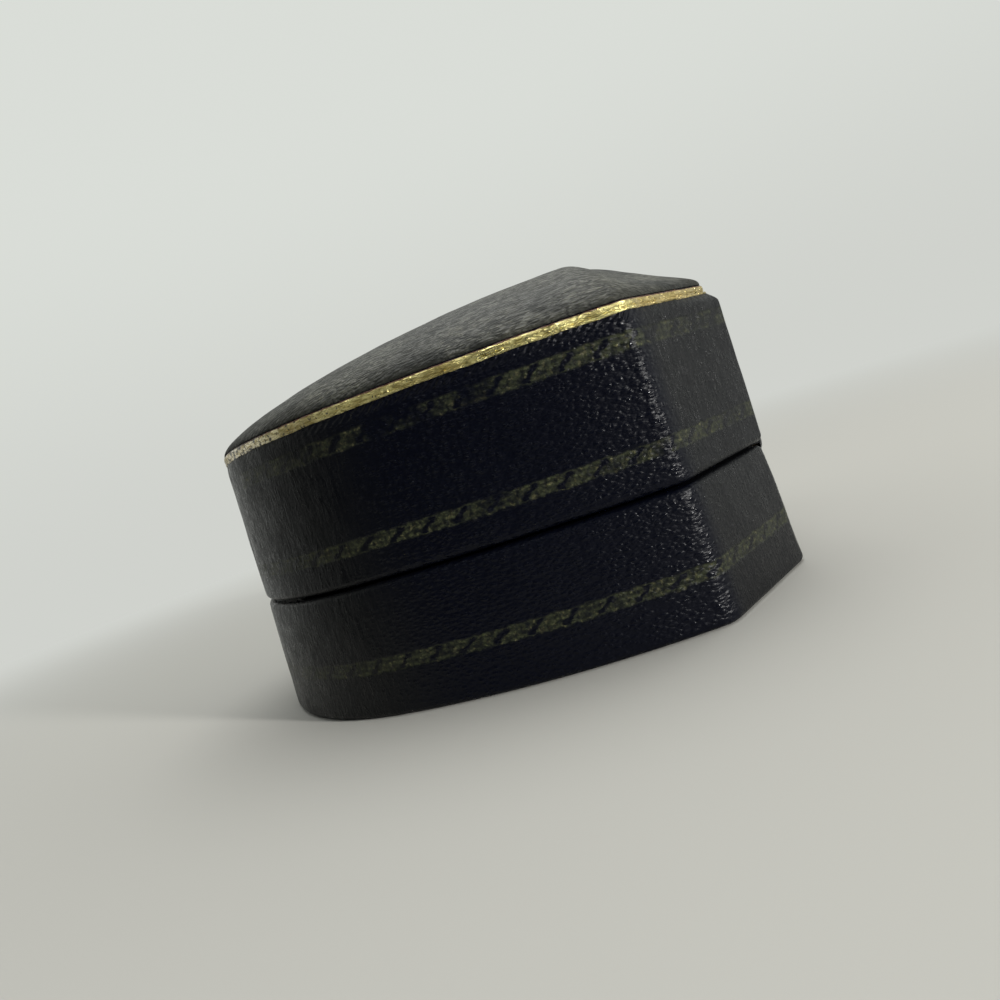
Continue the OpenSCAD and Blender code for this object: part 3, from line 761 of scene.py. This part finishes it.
def domeHeight(s, y, rise):
    k = softStep((y - domeSet["blendFrom"]) / (domeSet["blendTo"] - domeSet["blendFrom"]))
    inner = domeSet["frontCurve"][0] + (domeSet["backCurve"][0] - domeSet["frontCurve"][0]) * k
    outer = domeSet["frontCurve"][1] + (domeSet["backCurve"][1] - domeSet["frontCurve"][1]) * k
    return domeSet["roll"] * np.sqrt(max(0, 1 - s ** 16)) + (rise - domeSet["roll"]) * (1 - s ** inner) ** outer


def topLeatherPiece():
    detail = 0.7
    grow = -bodySet["taper"] - domeSet["creaseGap"]
    t = bodySet["leather"]
    rolled = [(1 - (i / 12) ** 2) ** (1 / 16) for i in range(12)]
    spread = list(np.linspace(rolled[-1], 0.10, 58)[1:]) + [0.06, 0.025]
    n = len(planRing(detail=detail))
    rings = []
    for under in (False, True):
        stack = []
        for s in (rolled + spread if not under else [1, 0.97, 0.9, 0.8, 0.65, 0.5, 0.35, 0.2, 0.06]):
            flat = planRing(grow - (t if under else 0), domeSet["hipSoft"] * (1 - s), detail)
            drawn = flat * s + np.array([0, domeSet["crownY"]]) * (1 - s)
            z = creaseZ + domeHeight(s, flat[:, 1], domeSet["rise"] - (t if under else 0))
            ring = np.column_stack([drawn, z])
            if not under:
                hold = min(1, (1 - s) / 0.02)
                slow, fine = (lift(ring, *domeSet[k]) for k in ("slowUneven", "fineUneven"))
                ring[:, 2] += hold * (slow + fine)
            stack.append(ring)
        rings.append(stack)
    over, below = rings
    order = over[::-1] + below
    vertices = np.concatenate(order + [np.array([[0, domeSet["crownY"], over[-1][:, 2].mean()]]),
                                       np.array([[0, domeSet["crownY"], below[-1][:, 2].mean()]])])
    faces = quadRows(len(order), n)
    top, bottom = len(vertices) - 2, len(vertices) - 1
    last = (len(order) - 1) * n
    faces += [(top, (i + 1) % n, i) for i in range(n)] + [(bottom, last + i, last + (i + 1) % n) for i in range(n)]
    piece = meshFrom("lid_dome_leather", vertices, faces)
    turnOutward(piece)
    return finishMesh(piece, topLeather("domeLeather"))


domeSkin = topLeatherPiece()
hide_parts("lid_top_leather")
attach(domeSkin, "lid")
print("dome leather laid", len(domeSkin.data.polygons))


# gilt line, swept by Geometry Nodes
giltSet = {"fillets": [{"z": 27.93, "Half width": 0.36, "Half depth": 0.15, "Seed": 4, "sway": 0.02},
                       {"z": 27.50, "Half width": 0.15, "Half depth": 0.09, "Seed": 9, "sway": 0.09}],
           "Step": 0.16, "Fray": 0.075, "proud": 0.005}


def buildGiltTree():
    tree = bpy.data.node_groups.new("giltFillet", "GeometryNodeTree")
    face = tree.interface
    face.new_socket("Outline", in_out="INPUT", socket_type="NodeSocketGeometry")
    for label, kind in (("Half width", "Float"), ("Half depth", "Float"), ("Step", "Float"), ("Fray", "Float"),
                        ("Seed", "Int"), ("Finish", "Material")):
        face.new_socket(label, in_out="INPUT", socket_type="NodeSocket" + kind)
    face.new_socket("Fillet", in_out="OUTPUT", socket_type="NodeSocketGeometry")
    given = tree.nodes.new("NodeGroupInput").outputs
    path = put(tree, "GeometryNodeMeshToCurve", {"Mesh": given["Outline"]})
    path = put(tree, "GeometryNodeResampleCurve", {"Curve": path.outputs[0], "Length": given["Step"]}, mode="LENGTH")
    upright = put(tree, "GeometryNodeSetCurveNormal", {"Curve": path.outputs[0]}, mode="Z_UP")
    circle = put(tree, "GeometryNodeCurvePrimitiveCircle", {"Resolution": 14, "Radius": 1.0})
    size = put(tree, "ShaderNodeCombineXYZ", {0: given["Half depth"], 1: given["Half width"], 2: 1.0})
    oval = put(tree, "GeometryNodeTransform", {"Geometry": circle.outputs[0], "Scale": size.outputs[0]})
    tube = put(tree, "GeometryNodeCurveToMesh", {"Curve": upright.outputs[0], "Profile Curve": oval.outputs[0]})
    inMm = sized(tree, put(tree, "GeometryNodeInputPosition").outputs[0], 1000.0)
    rough = put(tree, "ShaderNodeTexNoise",
                {"Vector": inMm, "W": given["Seed"], "Scale": 1.9, "Detail": 2.0}, noise_dimensions="4D")
    centred = vectorMath(tree, "SUBTRACT", rough.outputs["Color"], (0.5, 0.5, 0.5))
    upDown = scaled(tree, sized(tree, centred, given["Fray"]), (0.35, 0.35, 2.0))
    frayed = put(tree, "GeometryNodeSetPosition", {"Geometry": tube.outputs[0], "Offset": upDown})
    smooth = put(tree, "GeometryNodeSetShadeSmooth", {0: frayed.outputs[0]})
    real = put(tree, "GeometryNodeRealizeInstances", {0: smooth.outputs[0]})
    done = put(tree, "GeometryNodeSetMaterial", {"Geometry": real.outputs[0], "Material": given["Finish"]})
    tree.links.new(done.outputs[0], tree.nodes.new("NodeGroupOutput").inputs[0])
    return tree


def setInputs(modifier, values):
    for item in modifier.node_group.interface.items_tree:
        if item.item_type == "SOCKET" and item.in_out == "INPUT" and item.name in values:
            modifier[item.identifier] = values[item.name]


def giltPiece():
    tree = buildGiltTree()
    finish = gilding("gildedLine")
    meshes = []
    for fillet in giltSet["fillets"]:
        z = fillet["z"]
        flat = lidRing(lidFace(z), z)
        ring = np.column_stack([flat, np.full(len(flat), z)])
        outward = directions(lidRing(lidFace(z) - 0.05, z), flat)
        ring[:, :2] += outward * (unevenness(ring, bodySet["uneven"]) + giltSet["proud"])[:, None]
        ring[:, 2] += lift(ring, fillet["sway"], 3.0, 4.0)
        mesh = bpy.data.meshes.new("giltPath")
        count = len(ring)
        placed = (ring - (0, planSet["middleY"], 0)) * mm
        mesh.from_pydata(placed.tolist(), [(i, (i + 1) % count) for i in range(count)], [])
        path = newObject("giltPath", mesh)
        step = path.modifiers.new("sweep", "NODES")
        step.node_group = tree
        lengths = {"Half width": fillet["Half width"], "Half depth": fillet["Half depth"], "Step": giltSet["Step"],
                   "Fray": giltSet["Fray"]}
        setInputs(step, {label: value * mm for label, value in lengths.items()})
        setInputs(step, {"Seed": fillet["Seed"], "Finish": finish})
        meshes.append(bpy.data.meshes.new_from_object(evaluated(path)))
        bpy.data.objects.remove(path)
    vertices, faces = [], []
    for mesh in meshes:
        start = len(vertices)
        vertices += [v.co[:] for v in mesh.vertices]
        faces += [tuple(start + i for i in p.vertices) for p in mesh.polygons]
    joined = bpy.data.meshes.new("gilt_fillets")
    joined.from_pydata(vertices, [], faces)
    joined.update()
    piece = newObject("gilt_fillets", joined)
    turnOutward(piece)
    return finishMesh(piece, finish, None)


gilt = giltPiece()
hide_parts("gilt_line")
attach(gilt, "lid")
print("gilt line tooled", len(gilt.data.polygons), [round(v * 1000, 2) for v in gilt.dimensions])


# leather spine over the hinge
spineSet = {"length": 36.0, "inner": 0.92, "outer": 1.25, "endOuter": 0.95, "tipOuter": 0.62, "foot": 2.4,
            "footThick": 0.12, "crumple": 0.06, "fineCrumple": 0.05, "tuck": -2.4, "slimFrom": 12, "slimOver": 5,
            "shutFrom": 17.15, "shutOver": 0.75, "tuckFrom": 17.04, "tuckOver": 0.12}


def spineSection(x):
    # full over the barrel, narrower past its ends and pressed shut at the tips
    away = abs(x)
    slim = float(softStep((away - spineSet["slimFrom"]) / spineSet["slimOver"]))
    full = spineSet["outer"] + (spineSet["endOuter"] - spineSet["outer"]) * slim
    shut = float(softStep((away - spineSet["shutFrom"]) / spineSet["shutOver"]))
    outer = full + (spineSet["tipOuter"] - full) * shut
    tall = spineSet["outer"] * (1 - 0.22 * shut)
    inner = spineSet["inner"] * (1 - shut) + 0.42 * shut
    lowY = baseOut(bodySet["baseHeight"] - spineSet["foot"]) + 0.02
    highY = bodySet["backProud"] + 0.02
    f = spineSet["footThick"]
    outside = [(lowY, -2.4), (lowY + f * 0.7, -2.38), (lowY + f, -2.25), (lowY + f + 0.02, -1.9), (0.26, -1.5)]
    outside += [(outer * math.cos(a), tall * math.sin(a)) for a in np.radians(np.linspace(-66, 62, 22))]
    outside += [(highY + f + 0.05, 1.5), (highY + f + 0.03, 1.9), (highY + f, 2.25)]
    outside += [(highY + f * 0.7, 2.38), (highY, 2.4)]
    outside = [(max(dy, highY + f * 0.6) if dz > 0.2 else dy, dz) for dy, dz in outside]
    inside = [(inner * math.cos(a), spineSet["inner"] * math.sin(a)) for a in np.radians(np.linspace(65, 9, 9))]
    tuck = float(np.clip((away - spineSet["tuckFrom"]) / spineSet["tuckOver"], 0, 1))
    tongue = inner + (spineSet["tuck"] - inner) * tuck
    inside += [(tongue, 0.11), (tongue, -0.11)]
    inside += [(inner * math.cos(a), spineSet["inner"] * math.sin(a)) for a in np.radians(np.linspace(-9, -85, 11))]
    return outside, inside


def spinePiece():
    y, z = hingeSet["y"], hingeSet["z"]
    tip = spineSet["length"] / 2
    half = np.concatenate([np.linspace(0, 16.8, 76), np.linspace(17.0, 17.9, 10), [tip - 0.03, tip]])
    xs = np.concatenate([-half[:0:-1], half])
    vertices = []
    for x in xs:
        outside, inside = spineSection(x)
        section = outside + inside
        m = len(section)
        endFade = min(1.0, (tip - abs(x)) / 0.4) ** 0.5
        for k, (dy, dz) in enumerate(section):
            push = 0.0
            if k < len(outside):
                p = Vector((x, dy, dz))
                push = spineSet["crumple"] * noise.noise(p / 1.6)
                push += spineSet["fineCrumple"] * noise.noise(Vector((x / 0.7, dy / 3, dz / 3)))
                push = push * endFade - 0.10 * (1 - endFade) * (1 if abs(dz) < 1.3 else 0.3)
            radial = Vector((dy, dz)).normalized() if abs(dz) < 1.5 else Vector((1, 0))
            vertices.append((x, y + dy + radial[0] * push, z + dz + radial[1] * push))
    faces = quadRows(len(xs), m)
    faces += [tuple(range(m))[::-1], tuple((len(xs) - 1) * m + k for k in range(m))]
    piece = meshFrom("hinge_spine_leather", vertices, faces)
    turnOutward(piece)
    return finishMesh(piece, sideLeather("spineLeather", [], 3.1, (0.8, 1.0, 1.0)))


spine = spinePiece()
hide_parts("hinge_leather")
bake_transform(spine)
print("hinge spine shaped")


# velvet collar of the base and satin band of the lid
collarSet = {"out": -3.52, "in": -5.36, "low": 2.72, "top": 13.7, "round": 0.62, "thick": 0.3}
bandSet = {"out": -3.12, "thick": 0.3, "low": 12.98, "top": 24.98, "belly": 0.05}


def collarPiece():
    out, inn, low, top, r, t = (collarSet[k] for k in ("out", "in", "low", "top", "round", "thick"))
    section = [(out, low), (out, 6.0), (out, 10.0), (out, 12.2)]
    section += cornerArc((out - r, top - r), r, 0, 90, 7) + cornerArc((inn + r, top - r), r, 90, 180, 7)
    section += [(inn, 12.2), (inn, 10.0), (inn, low), (inn + t, low), (inn + t, top - t - 0.1)]
    section += [(inn + t + 0.1, top - t), (out - t - 0.1, top - t), (out - t, top - t - 0.1), (out - t, low)]
    return finishMesh(sweepSection("velvet_collar", section, detail=0.6), velvet("collarVelvet"))


collar = collarPiece()
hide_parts("collar_velvet")
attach(collar, "base")


def satinBandPiece():
    out, t, low, top = (bandSet[k] for k in ("out", "thick", "low", "top"))
    section = [(out, low), (out, 20.0), (out, top), (out - t * 0.6, top)]
    for z in np.linspace(top - 0.4, low + 0.5, 12):
        section.append((out - t - bandSet["belly"] * math.sin(math.pi * (top - z) / (top - low)), z))
    section += cornerArc((out - t * 0.5, low + t * 0.5), t * 0.5, 180, 270, 5)
    return finishMesh(sweepSection("satin_band", section, detail=0.6), satin("bandSatin"))


satinBand = satinBandPiece()
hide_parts("lid_lining_band")
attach(satinBand, "lid")
print("collar and satin band made")


# padded pieces, blown up by cloth simulation
padCloth = {"quality": 5, "mass": 0.3, "tension_stiffness": 15, "compression_stiffness": 15,
            "bending_stiffness": 0.5, "use_pressure": True, "uniform_pressure_force": 4.0}
padSet = {"grow": 20.0, "voxel": 0.016, "frames": 18, "tuck": 0.010,
          "ringSwell": 0.7, "liningSwell": 0.6, "bed": -5.5, "bedLow": 3.74, "frontCut": -14.0, "backCut": -12.0,
          "lidBed": -3.52, "lidTop": 24.96, "ringFill": 0.8, "liningFill": 0.6}


def paddedCopy(name, node, cap):
    # a copy of the fitted pad, tucked in a little, then blown up like wadding under cloth
    source = cadNodes[node].data
    mesh = bpy.data.meshes.new(name)
    enlarged = coordinates(source) * padSet["grow"]
    mesh.from_pydata(enlarged.tolist(), [], [tuple(p.vertices) for p in source.polygons])
    obj = newObject(name, mesh)
    weld = obj.modifiers.new("weld", "WELD")
    weld.merge_threshold = 0.0005
    voxel = obj.modifiers.new("voxel", "REMESH")
    voxel.mode = "VOXEL"
    voxel.voxel_size = padSet["voxel"]
    bakeModifiers(obj)
    mesh = obj.data
    start = coordinates(mesh)
    normals = np.array([v.normal[:] for v in mesh.vertices])
    before = start - normals * padSet["tuck"]
    mesh.vertices.foreach_set("co", before.ravel())
    mesh.update()
    cloth = obj.modifiers.new("cloth", "CLOTH")
    for setting, value in padCloth.items():
        setattr(cloth.settings, setting, value)
    cloth.settings.effector_weights.gravity = 0
    cloth.point_cache.frame_end = padSet["frames"]
    for step in range(1, padSet["frames"] + 1):
        bpy.context.scene.frame_set(step)
    after = coordinates(evaluated(obj).data)
    obj.modifiers.clear()
    bpy.context.scene.frame_set(1)
    moved = after - before
    far = np.linalg.norm(moved, axis=1)
    moved *= np.minimum(1, cap * padSet["grow"] * mm / np.maximum(far, 1e-9))[:, None]
    after = before + moved
    return obj, after / padSet["grow"]


def keepInWell(points, outlineGrow, cutY=0, side=0, low=0):
    # holds a pad inside its own bed: within the outline, on its side of the slot, above the card
    flat = points[:, :2] / mm + (0, planSet["middleY"])
    ring = planRing(outlineGrow, detail=0.5)
    run = np.roll(ring, -2, axis=0) - np.roll(ring, 2, axis=0)
    inward = np.column_stack([run[:, 1], -run[:, 0]]) / np.linalg.norm(run, axis=1)[:, None]
    if (np.array([0.0, -15.0]) - ring[0]) @ inward[0] < 0:
        inward = -inward
    nearest = np.linalg.norm(flat[:, None, :] - ring[None], axis=2).argmin(axis=1)
    inside = np.einsum("ij,ij->i", flat - ring[nearest], inward[nearest])
    flat -= inward[nearest] * np.minimum(inside, 0)[:, None]
    if side:
        flat[:, 1] += np.maximum((cutY - flat[:, 1]) * side, 0) * side
    kept = np.array(points)
    kept[:, :2] = (flat - (0, planSet["middleY"])) * mm
    kept[:, 2] = np.maximum(kept[:, 2], low * mm)
    return kept


def finishPad(obj, points, material, node, body):
    obj.data.vertices.foreach_set("co", np.asarray(points, np.float32).ravel())
    obj.data.update()
    finishMesh(obj, material, None)
    relax = obj.modifiers.new("relax", "SMOOTH")
    relax.factor = 0.5
    relax.iterations = 6
    finer = obj.modifiers.new("finer", "SUBSURF")
    finer.levels = finer.render_levels = 1
    bakeModifiers(obj)
    obj.data.shade_smooth()
    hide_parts(node)
    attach(obj, body)
    print("pad", obj.name, len(obj.data.polygons))


velvetPad = velvet("padVelvet")
for ringPad, cut, side in (("ring_pad_front", padSet["frontCut"], -1), ("ring_pad_back", padSet["backCut"], 1)):
    pad, points = paddedCopy(ringPad + "_velvet", ringPad, padSet["ringSwell"])
    points = keepInWell(points, padSet["bed"], cut, side, padSet["bedLow"])
    finishPad(pad, points, velvetPad, ringPad, "base")
pad, points = paddedCopy("lid_satin_pad", "lid_lining_pad", padSet["liningSwell"])
points[:, 2] = np.minimum(points[:, 2], padSet["lidTop"] * mm)
points = keepInWell(points, padSet["lidBed"])
finishPad(pad, points, satin("padSatin"), "lid_lining_pad", "lid")


# finishes of the case, card, paper and brass

caseFinishes = {"casePine": (wood, ["base_wall", "base_floor", "lid_wall", "lid_top_board"]),
                "strawboard": (card, ["collar_card", "lid_lining_card"]),
                "bedVelvet": (velvet, ["pad_board"]),
                "footPaper": (darkPaper, ["base_underside"]),
                "hingeBrass": (brass, ["hinge_leaf_base", "hinge_pin", "hinge_nails_base", "hinge_leaf_lid",
                                       "hinge_nails_lid"])}
for finishName, (build, names) in caseFinishes.items():
    finish = build(finishName)
    for name in names:
        cadNodes[name].data.materials.clear()
        cadNodes[name].data.materials.append(finish)
print("case finishes set")


# floor, world and lamps
roomSet = {"skyHigh": (0.70, 0.725, 0.685), "skyLow": (0.630, 0.645, 0.610), "floor": (0.520, 0.510, 0.475),
           "fill": 0.85, "shade": 0.03, "shadeTowards": (0.95, -0.30, 0.08), "cardFrom": -0.20, "cardTo": 0.62,
           "floorSize": 4.0}


def seenRays(tree):
    # what is seen straight on, and what is seen by way of gloss or glass
    ray = tree.nodes.new("ShaderNodeLightPath").outputs
    return ray["Is Camera Ray"], calc(tree, "MAXIMUM", ray["Is Glossy Ray"], ray["Is Transmission Ray"])


def flagged(tree, direction):
    # 1 on the bright side of the room, falling off behind a dark card on the other side
    facing = put(tree, "ShaderNodeVectorMath", {0: direction, 1: roomSet["shadeTowards"]},
                 operation="DOT_PRODUCT").outputs["Value"]
    return ramp(tree, facing, roomSet["cardFrom"], roomSet["cardTo"], 1.0, roomSet["shade"])


def addFloor():
    steps = 96
    ring = [(x, y, 0) for x, y in arc((0, 0), roomSet["floorSize"], 0, 2 * math.pi, steps)[:-1]]
    mesh = bpy.data.meshes.new("floor")
    mesh.from_pydata(ring, [], [tuple(range(steps))])
    floor = newObject("floor", mesh)
    made = bpy.data.materials.new("paleFloor")
    tree = emptyTree(made)
    place = tree.nodes.new("ShaderNodeTexCoord").outputs["Object"]
    away = put(tree, "ShaderNodeVectorMath", {0: place}, operation="LENGTH").outputs["Value"]
    matt = put(tree, "ShaderNodeBsdfDiffuse", {"Color": (*roomSet["floor"], 1)})
    straight, mirrored = seenRays(tree)
    strength = calc(tree, "MAXIMUM", straight, flagged(tree, vectorMath(tree, "NORMALIZE", place)))
    glow = put(tree, "ShaderNodeEmission", {"Color": (*roomSet["skyLow"], 1), "Strength": strength})
    fade = calc(tree, "ADD", times(tree, ramp(tree, away, 0.05, 0.28), straight),
                times(tree, ramp(tree, away, 0.03, 0.11), mirrored))
    mix = put(tree, "ShaderNodeMixShader", {0: fade, 1: matt.outputs[0], 2: glow.outputs[0]})
    put(tree, "ShaderNodeOutputMaterial", {0: mix.outputs[0]})
    mesh.materials.append(made)


def addWorld():
    world = bpy.data.worlds.new("studio")
    bpy.context.scene.world = world
    tree = emptyTree(world)
    direction = tree.nodes.new("ShaderNodeTexCoord").outputs["Generated"]
    bright = flagged(tree, direction)
    lit = put(tree, "ShaderNodeBackground",
              {"Color": (0.965, 1.0, 0.965, 1), "Strength": times(tree, bright, roomSet["fill"])})
    height = part(tree, direction, 2)
    sky = blendColour(tree, ramp(tree, height, 0.0, 0.42), roomSet["skyLow"], roomSet["skyHigh"])
    straight, mirrored = seenRays(tree)
    pale = put(tree, "ShaderNodeBackground", {"Color": sky, "Strength": calc(tree, "MAXIMUM", straight, bright)})
    seen = calc(tree, "MAXIMUM", straight, mirrored)
    mix = put(tree, "ShaderNodeMixShader", {0: seen, 1: lit.outputs[0], 2: pale.outputs[0]})
    put(tree, "ShaderNodeOutputWorld", {0: mix.outputs[0]})


def addLamp(name, place, size, power, colour=(1, 1, 1)):
    lamp = bpy.data.lights.new(name, "AREA")
    lamp.shape = "DISK"
    lamp.size = size
    lamp.energy = power
    lamp.color = colour
    obj = newObject(name, lamp)
    obj.location = place
    obj.rotation_euler = (Vector((0, 0, 0.02)) - Vector(place)).to_track_quat("-Z", "Y").to_euler()


addFloor()
addWorld()
addLamp("overhead", (-0.10, 0.05, 0.45), 0.35, 0.85)
addLamp("window", (0.36, 0.33, 0.12), 0.040, 2.2, (1.0, 0.99, 0.96))
addLamp("skylight", (0.30, -0.16, 0.36), 0.12, 0.10, (0.90, 0.95, 1.0))
print("room lit")
